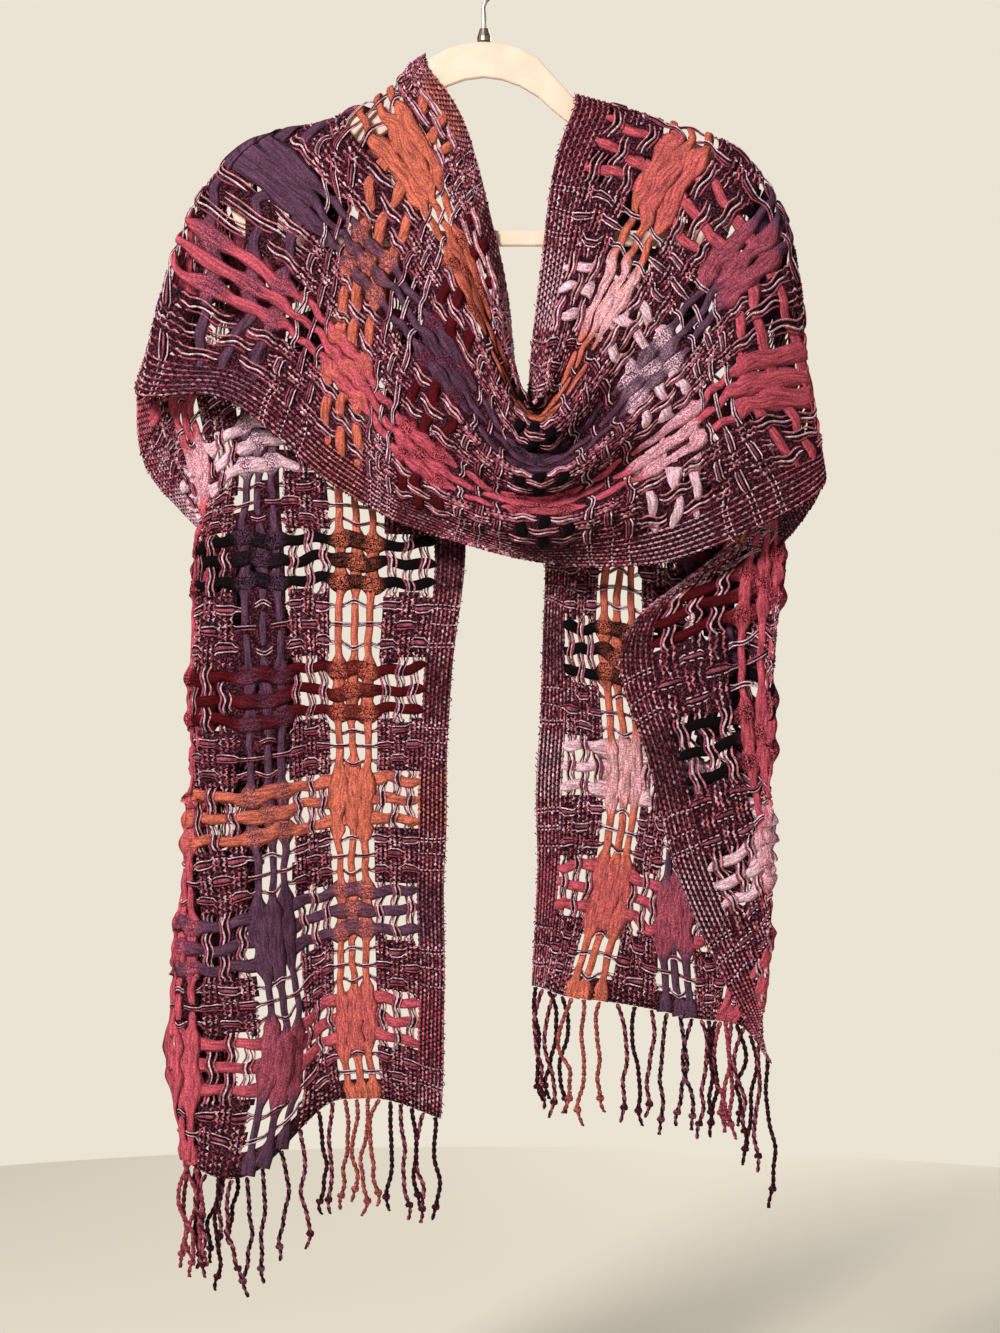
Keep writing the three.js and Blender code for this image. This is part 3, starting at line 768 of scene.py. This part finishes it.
def weftPath(n, j):
    w = acrossPlaces
    s = np.full_like(w, barMiddle(n) + j * weave["weftGap"])
    h = np.zeros_like(w)
    half = np.full_like(w, weave["weftHalf"])
    mix = np.zeros_like(w)
    other = np.tile(yarn[barColour(n)], (len(w), 1))
    seed = 5000 + n * 10 + j
    for column, i in trios(weave["columns"]):
        if melts(n, column):
            solid = solidShare(w - column)
            _, patchHalf, share = meltShape(n)
            half = np.maximum(half, weave["weftHalf"] + solid * (patchHalf - weave["weftHalf"]))
            other = np.where(solid[:, None] > 0, yarn[columnColours[column]], other)
            mix = np.maximum(mix, solid * share * patch["weftMix"])
            continue
        near = bump(w - column - i * weave["cordGap"], weave["blobReach"])
        other = np.where(near[:, None] > 0, yarn[columnColours[column]], other)
        half, h, mix = crossCord(half, h, mix, near, (i + j) % 2 == 0, -1)
    for middle, i in trios(weave["thins"]):
        h -= overUnder(i + j) * weave["underLift"] * bump(w - middle - i * weave["cordGap"], 7)
    edge = smoothStep(19, 29, fromSelvage(w))
    h = h * edge
    solid = np.max([solidShare(w - column) * melts(n, column) for column in weave["columns"]], axis=0)
    thick = weave["weftThick"] * (1 - patch["weftThin"] * solid)
    s = s + wander(w, *weave["weftSway"], seed) * (1 - 0.6 * solid)
    half = half * (1 + 0.08 * wander(w, 8, 1, seed + 1)) * (0.12 + 0.88 * edge)
    return s, w, h, half, thick, np.clip(mix, 0, 1), other


def addTo(pieces, path, *shape, shown=True, **settings):
    # each stretch of the cloth takes the part of the thread that lies in it
    which = np.where(shown, stretchOf(path[:, 0], path[:, 1]), -1)
    for k, piece in enumerate(pieces):
        piece.add(path, which == k, *shape, **settings)


def cordPieces(material):
    pieces = [Threads() for name in stretchNames]
    for column, i in trios(weave["columns"]):
        s, w, h, half, mix, colour, other = ribbonPath(column, i)
        addTo(pieces, np.c_[s, w, h], half, weave["ribbonThick"], colour, other, mix,
              turned=True, felted=True)
    for n in range(weave["bars"]):
        for j in (-1, 0, 1):
            s, w, h, half, thick, mix, other = weftPath(n, j)
            # the ends lie hidden in the selvages
            shown = fromSelvage(w) > selvageWide - 2.5
            addTo(pieces, np.c_[s, w, h], half, thick, yarn[barColour(n)], other, mix,
                  shown=shown, felted=True)
    return [piece.build(f"{name}Cords", material) for name, piece in zip(stretchNames, pieces)]


# thin yarns: bundles that spread into ribs in the dense patches and close up between the cords

thin = {
    "radius": 1.25, "lift": 1.6, "stitch": 0.5, "wiggle": 0.75, "wave": 1.1,
    "open": (-4.4, -2.2, -0.4, 3.4), "closed": (-3.0, -1.1, 0.8, 2.8),
    "shades": ("light", "dark", "white", "pinkish"),
    "floatHalf": 1.5, "floatThick": 0.3, "lineRadius": 0.68,
}


def denseShare(s):
    # 1 between the bars, 0 in a bar
    away = abs(s - barMiddle(nearestBar(s)))
    return smoothStep(weave["barHalf"] - 5, weave["barHalf"] + 3, away)


def crowdShare(s):
    # 1 where the cloth is bunched over the shoulders and in the cowl, and its thin columns close up
    return smoothStep(470, 560, s) * (1 - smoothStep(1330, 1420, s))


def thinShare(w):
    # 1 in a thin column or selvage, 0 in a coloured column
    away = np.min([abs(w - column) for column in weave["columns"]], axis=0)
    return smoothStep(16, 23, away)


def flatBump(x, flat, reach):
    return 1 - smoothStep(flat, reach, abs(x))


def ribColours(own, count):
    # speckled light and dark, stitch by stitch
    pick = own.uniform(0, 1, count)[:, None]
    return np.where(pick < 0.14, yarn["white"], np.where(pick < 0.4, yarn["light"], np.where(
        pick < 0.86, yarn["pinkish"], yarn["wine"])))


def rowPlaces():
    for n in range(-1, weave["bars"]):
        for k, offset in enumerate(weave["rowOffsets"]):
            s0 = barMiddle(n) + weave["barPitch"] / 2 + offset
            if 12 < s0 < cloth["length"] - 12:
                yield n, k, s0


def warpBundle(pieces, middle, i, seed):
    s = alongPlaces
    dense = denseShare(s)
    own = np.random.default_rng(seed + 60)
    centre = middle + i * weave["cordGap"] + wander(s, 11, 1.5, seed) * (1 - 0.6 * dense)
    centre += thin["wave"] * np.sin(s / own.uniform(2.2, 3.2) + own.uniform(0, 6)) * (1 - dense)
    h = np.zeros_like(s)
    spread = np.maximum(dense, 0.6 * crowdShare(s))
    for n, j, place in crossings():
        h += overUnder(i + j) * thin["lift"] * bump(s - place, 8.5)
    for n, k, place in rowPlaces():
        over = overUnder(i + k + n)
        h += over * 0.7 * bump(s - place, 7)
        spread *= 1 - (0.6 if over > 0 else 0.0) * bump(s - place, 8.5)
    for k, shade in enumerate(thin["shades"]):
        stitch = np.where((np.arange(len(s)) + k) % 2 == 0, 1, -1) * own.uniform(0.5, 1.3, len(s))
        offset = thin["closed"][k] + (thin["open"][k] - thin["closed"][k]) * spread
        w = centre + offset + 0.35 * np.sin(s / 2.6 + k * 2.1) + thin["wiggle"] * stitch * dense
        lift = h + (0.3 if k % 2 == 0 else -0.3) * (1 - dense) - thin["stitch"] * stitch * dense
        rib = ribColours(own, len(s)) if shade != "dark" else yarn["dark"]
        colour = rib * dense[:, None] + yarn[shade] * (1 - dense[:, None])
        radius = thin["radius"] - 0.28 * (1 - dense) - (0.35 if shade == "dark" else 0)
        addTo(pieces, np.c_[s, w, lift], radius, 0.75, colour, sides=3, turned=True)


def thinWeft(pieces, s0, n, k, seed):
    # a soft float edged with a white, a dark and a pink yarn, in front of one bundle and behind the next; the
    # dark line is partly a dark yarn and partly painted shadow of the white one
    w = acrossPlaces
    share = thinShare(w)
    centre = np.full_like(w, s0) + wander(w, 10, 1.3, seed)
    h = np.zeros_like(w)
    opening = np.zeros_like(w)
    away = 1 - k
    for column, i in trios(weave["columns"]):
        over = overUnder(i + k)
        near = bump(w - column - i * weave["cordGap"], 8)
        h -= over * 1.5 * near
        centre += away * (1.8 if i else -2.4) * near
    for place, i in trios(weave["thins"]):
        over = overUnder(i + k + n)
        near = flatBump(w - place - i * weave["cordGap"], 4.6, 8.2)
        h -= over * 1.5 * near
        centre += (away * 1.1 + 0.5) * over * near
        opening = np.maximum(opening, near)
    edge = smoothStep(20, 27, fromSelvage(w))
    alternate = np.where(np.arange(len(w)) % 2 == 0, 1.0, -1.0)
    dotted = alternate * (1 - edge)
    h = h * edge
    # behind a bundle, the lines still show between its ribs
    shown = np.where(stretchOf(centre, w) == 1, 1, -1)
    dips = (h * shown < 0) & (alternate > 0) & (share > 0.5)
    own = np.random.default_rng(seed + 3)
    swell = np.clip(0.95 + 0.4 * wander(w, 6, 1, seed + 4), 0.35, 1.3)
    pick = (0.5 + 0.5 * np.clip(wander(w, 3, 1.3, seed + 5), -1, 1))[:, None]
    soft = yarn["mauve"] * pick + yarn["pinkish"] * 0.7 * (1 - pick)
    floatHalf = 0.3 + thin["floatHalf"] * opening * share * edge * swell * (1 - 0.5 * crowdShare(centre))
    addTo(pieces, np.c_[centre, w, h * 0.9], floatHalf, thin["floatThick"], soft, sides=4)
    lower = "white" if own.uniform() < 0.45 else "pinkish"
    out = floatHalf * share
    # the dark line just inside the white one is partly painted shadow of the white line
    edging = ((out + 1.25, "white", 0.3), (out + 0.15, "dark", 0.35), (-out - 0.9, lower, 0.2))
    for offset, shade, extra in edging:
        lift = np.where(dips, -0.75 * h, h + np.sign(h) * extra)
        lift = lift + dotted * (1.2 if shade == "white" else -1.2)
        path = np.c_[centre + offset, w, lift]
        radius = thin["lineRadius"] * (0.8 if shade == "dark" else 1)
        addTo(pieces, path, radius, radius, yarn[shade], sides=3)


def thinWefts(pieces):
    for n, k, s0 in rowPlaces():
        thinWeft(pieces, s0, n, k, 7000 + n * 10 + k)
    for s0 in (2, 5, cloth["length"] - 5, cloth["length"] - 2):
        w = acrossPlaces
        h = np.where(np.arange(len(w)) % 2 == 0, 1.0, -1.0) * 0.9
        path = np.c_[s0 + 0.3 * h, w, h]
        addTo(pieces, path, 0.9, 0.7, yarn["dark"], sides=3)


selvage = {"ribs": 7, "start": 1.2, "radius": 1.2, "stitch": 0.45, "stubEvery": 3.2}


def selvageRibs(pieces, outer):
    s = alongPlaces
    tint = np.array([yarn[barColour(n)] for n in nearestBar(s)])
    inBar = (1 - denseShare(s))[:, None]
    even = (np.arange(len(s)) % 2 == 0)
    for k in range(selvage["ribs"]):
        own = np.random.default_rng(900 + k + 50 * outer)
        colour = ribColours(own, len(s)) * (1 - 0.6 * inBar) + tint * 0.6 * inBar
        side = np.where(even, 1, -1) * (1 if k % 2 else -1) * own.uniform(0.6, 1.2, len(s))
        w = selvage["start"] + k * ribPitch + 0.45 * side
        if outer:
            w = cloth["width"] - w
        path = np.c_[s, w, selvage["stitch"] * side]
        addTo(pieces, path, selvage["radius"], 0.9, colour, sides=3, turned=True)
    edgeStubs(pieces, outer)


def edgeStubs(pieces, outer):
    # short loose ends along the selvage
    own = np.random.default_rng(1200 + outer)
    t = np.linspace(0, 1, 4)
    for s0 in np.arange(6, cloth["length"] - 6, selvage["stubEvery"]):
        reach = own.uniform(0.8, 3.4)
        lean = own.uniform(-2.5, 2.5)
        w = 1.2 - t * reach
        w = cloth["width"] - w if outer else w
        path = np.c_[s0 + own.uniform(-1, 1) + lean * t ** 2, w, own.uniform(-1.2, 1.2) * t]
        shade = ("light", "white", "dark", "wine")[own.integers(0, 4)]
        addTo(pieces, path, 0.5, 0.45, yarn[shade], sides=3)


def yarnPieces(material):
    warps, wefts, edges = ([Threads() for name in stretchNames] for kind in range(3))
    for middle, i in trios(weave["thins"]):
        warpBundle(warps, middle, i, 300 + middle * 3 + i)
    thinWefts(wefts)
    for outer in (False, True):
        selvageRibs(edges, outer)
    made = []
    for name, *kinds in zip(stretchNames, warps, wefts, edges):
        made.append([kind.build(name + label, material)
                     for kind, label in zip(kinds, ("WarpYarns", "WeftYarns", "SelvageYarns"))])
    return made


# the dense cloth under the yarns: a closed thin shell with the windows left out, and some windows closed with
# it as painted shade

ground = {
    "step": 3.9, "thick": 0.7,
    "hem": 14, "columnFrom": 22,       # the solid hems, and a coloured column's half width
    # the gather's closed cloth is partly bunched cloth and partly painted shade over its windows
    "bunchedAndShaded": 120, "solid": 55,       # reach of the gather's closed cloth, and of its part without holes
    # where dark ground cloth fills the purple column's windows in the left tail as painted shade
    "shadeFillAlong": (305, 560), "shadeFillMiddle": 168, "shadeFillHalf": 25,
}
# the hidden layer behind a folded edge: places along, then where it starts or ends across
foldRows = rightTail[2:6]
foldPlaces = [row["along"] for row in foldRows]
foldStart = (
    [0, 560, 600, 1370, 1400] + foldPlaces,
    [226, 226, 330, 330, 182] + [row["turnAt"] - row["turn"][0] + row["outer"][0] + 4 for row in foldRows],
)
foldEnd = ([0, 1370, 1400] + foldPlaces, [330, 330, 205] + [row["turnAt"] for row in foldRows])


def keepShell(s, w):
    ragged = unevenField(s, w, 3.2, 77)
    holes = unevenField(s, w, 4.5, 78)
    away = np.min([abs(w - column) for column in weave["columns"]], axis=0)
    thinColumn = away > ground["columnFrom"] + 1.3 * ragged
    edge = fromSelvage(w) < selvageWide
    between = denseShare(s + 2.2 * ragged) > 0.55
    crowded = (crowdShare(s) > 0.5) & (holes < 0.35)
    folded = (w > np.interp(s, *foldStart)) & (w < np.interp(s, *foldEnd)) & (holes < 0.5)
    # the closed gather is partly bunched cloth and partly painted shade, dark where shade shows through its
    # windows
    fromGather = abs(s - gather["along"])
    pierced = (fromGather >= ground["solid"]) & (holes >= 0.75)
    bunchedAndShaded = (fromGather < ground["bunchedAndShaded"] + 25 * ragged) & ~pierced
    # painted shade: dark ground cloth closes the purple column's windows in the left tail, where shade shows
    # through
    inShadeFill = (s > ground["shadeFillAlong"][0]) & (s < ground["shadeFillAlong"][1])
    shadeFilled = inShadeFill & (abs(w - ground["shadeFillMiddle"]) < ground["shadeFillHalf"]) & (holes < 0.55)
    hem = (s < ground["hem"]) | (s > cloth["length"] - ground["hem"])
    return edge | (thinColumn & (between | crowded)) | folded | shadeFilled | bunchedAndShaded | hem


def shellPieces(material):
    sCount = int(cloth["length"] / ground["step"])
    wCount = int(cloth["width"] / ground["step"])
    sLines = np.linspace(0, cloth["length"], sCount + 1)
    wLines = np.linspace(0, cloth["width"], wCount + 1)
    cellS, cellW = np.meshgrid((sLines[1:] + sLines[:-1]) / 2, (wLines[1:] + wLines[:-1]) / 2, indexing="ij")
    kept = keepShell(cellS.ravel(), cellW.ravel()).reshape(cellS.shape)
    which = stretchOf(cellS.ravel(), cellW.ravel()).reshape(cellS.shape)
    pointS, pointW = (part.ravel() for part in np.meshgrid(sLines, wLines, indexing="ij"))
    columns = len(wLines)
    half = ground["thick"] / 2
    cellArea = (sLines[1] * mm) * (wLines[1] * mm)
    pieces = []
    for m, name in enumerate(stretchNames):
        use = kept & (which == m)
        piece = closedShell(f"{name}Cloth", use, pointS, pointW, columns, half, material)
        pieces.append((piece, use.sum() * cellArea))
    return pieces


def closedShell(name, use, pointS, pointW, columns, half, material):
    i, j = np.nonzero(use)
    total = len(pointS)
    corner = i * columns + j
    top = np.c_[corner, corner + 1, corner + columns + 1, corner + columns]
    faces = [top, top[:, ::-1] + total]
    padded = np.pad(use, 1)
    for di, dj, a, b in ((-1, 0, 0, 1), (0, 1, 1, 2), (1, 0, 2, 3), (0, -1, 3, 0)):
        free = ~padded[i + 1 + di, j + 1 + dj]
        first, second = top[free, a], top[free, b]
        faces.append(np.c_[second, first, first + total, second + total])
    faces = np.concatenate(faces)
    used, faces = np.unique(faces, return_inverse=True)
    faces = faces.reshape(-1, 4)
    side = np.where(used < total, 1, -1)
    index = used % total
    flat = np.c_[pointS[index], pointW[index], side * half]
    colours = np.zeros((len(flat), 4))
    return makeMesh(name, onCloth(flat)[0] * mm, faces, material, flat, colours, colours)


# fringes

fringe = {
    "count": {"left": 27, "right": 25},
    "lengths": {"left": (74, 80, 78, 84, 72, 80, 76), "right": (82, 86, 84, 82, 80, 78, 104)},
    "ply": 1.2, "apart": 0.9, "turn": 10, "sides": 5, "rings": 40,
    "pairSway": 7.5,                   # neighbours bow apart and meet again
    "knotAt": 0.87, "knotRadius": 2.0, "knotHeight": 1.1, "knotPly": 1.35,
}


def strandColours(w):
    column = min(weave["columns"], key=lambda c: abs(c - w))
    if abs(column - w) < 20:
        soft = yarn[columnColours[column]] * 0.55 + yarn["pinkish"] * 0.35
        return soft, yarn["dark"] if column == 164 else soft * 0.6
    return yarn["wine"], yarn["mauve"] if (int(w / 12) % 2) else yarn["dark"]


def sweep(points, radii, sides):
    # rings round a line in space
    forward = np.gradient(points, axis=0)
    forward /= np.maximum(np.linalg.norm(forward, axis=1, keepdims=True), 1e-9)
    first = np.cross(forward, (0, 1, 0.001))
    first /= np.linalg.norm(first, axis=1, keepdims=True)
    second = np.cross(forward, first)
    angle = 2 * np.pi * np.arange(sides) / sides
    radii = np.broadcast_to(radii, len(points))
    ring = (points[:, None] + radii[:, None, None] * (np.cos(angle)[None, :, None] * first[:, None]
            + np.sin(angle)[None, :, None] * second[:, None]))
    a, b = ringCorners(len(points), sides)
    end = ((len(points) - 1) * sides + np.arange(sides))[::-1]
    faces = [np.c_[a, a + sides, b + sides, b], capFaces(np.arange(sides)), capFaces(end)]
    return ring.reshape(-1, 3), np.concatenate(faces)


def fringePiece(side, material):
    count = fringe["count"][side]
    lengths = fringe["lengths"][side]
    hem = 0 if side == "left" else cloth["length"]
    outward = -1 if side == "left" else 1
    parts = []
    for index in range(count):
        w = cloth["width"] * (index + 0.5) / count
        root = lookUp(gridPoints, np.array([hem + outward * 1.0]), np.array([w]))[0]
        share = index / (count - 1) * (len(lengths) - 1)
        length = float(np.interp(share, range(len(lengths)), lengths)) + 6 * math.sin(index * 2.4) + 4
        own = np.random.default_rng(400 + index + (60 if side == "right" else 0))
        t = np.linspace(0, 1, fringe["rings"])
        pair = overUnder(index) * fringe["pairSway"]
        swayX = pair * np.sin(np.pi * np.minimum(t * 1.6, 1)) * own.uniform(-0.2, 1.1)
        swayX += own.uniform(-6, 6) * t
        swayX += own.uniform(1.2, 3.4) * np.sqrt(t) * np.sin(t * own.uniform(7, 12) + own.uniform(0, 6))
        swayX += own.uniform(0.5, 1.3) * t * np.sin(t * own.uniform(17, 24) + own.uniform(0, 6))
        swayX -= swayX[0]
        swayY = own.uniform(-3, 3) * t + own.uniform(0.5, 2) * t * np.sin(t * own.uniform(4, 7))
        line = root + np.c_[swayX, swayY, -length * t]
        first, second = strandColours(w)
        taper = np.where(t > 0.86, 0.75, 1.0)
        for ply, colour in ((0, first), (1, second)):
            phase = t * length / fringe["turn"] * 2 * np.pi + ply * np.pi + index
            offset = np.c_[np.cos(phase), np.sin(phase), 0 * phase] * fringe["apart"]
            points, faces = sweep(line + offset, fringe["ply"] * taper, fringe["sides"])
            parts.append((points, faces, colour))
        parts.append(knotParts(line[int(fringe["knotAt"] * len(t))], first))
    return joinParts(f"{side}FringeStrands", parts, material)


def knotParts(centre, colour):
    t = np.linspace(0, 2 * np.pi, 11)
    radius, height = fringe["knotRadius"], fringe["knotHeight"]
    ring = np.c_[radius * np.cos(t), radius * np.sin(t), height * np.sin(2 * t)]
    points, faces = sweep(centre + ring, fringe["knotPly"], fringe["sides"])
    return points, faces, colour * 0.9


def joinParts(name, parts, material):
    points, faces, colours, count = [], [], [], 0
    for part, partFaces, colour in parts:
        points.append(part)
        faces.append(np.where(partFaces < 0, -1, partFaces + count))
        colours.append(np.tile(np.r_[colour, 0], (len(part), 1)))
        count += len(part)
    points = np.concatenate(points)
    colours = np.concatenate(colours)
    flat = points[:, [2, 0, 1]]
    return makeMesh(name, points * mm, np.concatenate(faces), material, flat, colours, colours)


# hanger

flockLook = {
    "napScale": 1500.0, "patchScale": 35.0, "relief": (0.3, 0.0003),
    "stops": ((0.3, (0.76, 0.53, 0.42, 1)), (0.7, (0.9, 0.67, 0.55, 1))),
    "surface": {"Roughness": 0.95, "Sheen Weight": 0.4},
}
metalLook = {"grainScale": 220.0, "roughness": (0.25, 0.45), "colour": (0.42, 0.34, 0.27, 1)}


def flockMaterial():
    material, tree, shader = nodesFor("blushFlock")
    nap = grainOf(tree, flockLook["napScale"], Detail=3.0)
    patches = grainOf(tree, flockLook["patchScale"], Detail=3.0)
    addRelief(tree, shader, nap, *flockLook["relief"])
    surface(tree, shader, rampOf(tree, patches, flockLook["stops"]), flockLook["surface"])
    return material


def metalMaterial():
    material, tree, shader = nodesFor("bronzeWire")
    grain = grainOf(tree, metalLook["grainScale"], Detail=3.0)
    rough = mapRange(tree, grain, 0, 1, *metalLook["roughness"])
    tree.links.new(rough, shader.inputs["Roughness"])
    shader.inputs["Base Color"].default_value = metalLook["colour"]
    shader.inputs["Metallic"].default_value = 1.0
    return material


def main():
    addCamera()
    addStage()
    felt = feltMaterial()
    dense = shellMaterial()
    thinYarn = yarnMaterial()
    shells = shellPieces(dense)
    print("dense cloth made")
    cords = cordPieces(felt)
    print("felted cords made")
    yarns = yarnPieces(thinYarn)
    print("thin yarns made")
    fringes = [fringePiece(side, thinYarn) for side in ("left", "right")]
    print("fringes made")
    nodes = ("left_tail", "front_drape", "right_tail")
    for k, (shell, shellArea) in enumerate(shells):
        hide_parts(nodes[k])
        extra = [cords[k], *yarns[k]]
        for piece in (shell, *extra):
            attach(piece, "root")
        if k != 1:
            fringePart = fringes[0 if k == 0 else 1]
            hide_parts("left_fringe" if k == 0 else "right_fringe")
            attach(fringePart, "root")
            extra.append(fringePart)
    flock = flockMaterial()
    metal = metalMaterial()
    for node, material in (("hanger_body", flock), ("hook_collar", metal), ("hook_wire", metal)):
        obj = frame["nodes"][node]
        obj.data.materials.clear()
        obj.data.materials.append(material)
    for obj in bpy.data.objects:
        if obj.type == "MESH" and obj.name.endswith(("Cords", "Yarns", "Cloth", "Strands")):
            print(obj.name, "triangles", sum(len(p.vertices) - 2 for p in obj.data.polygons))


main()
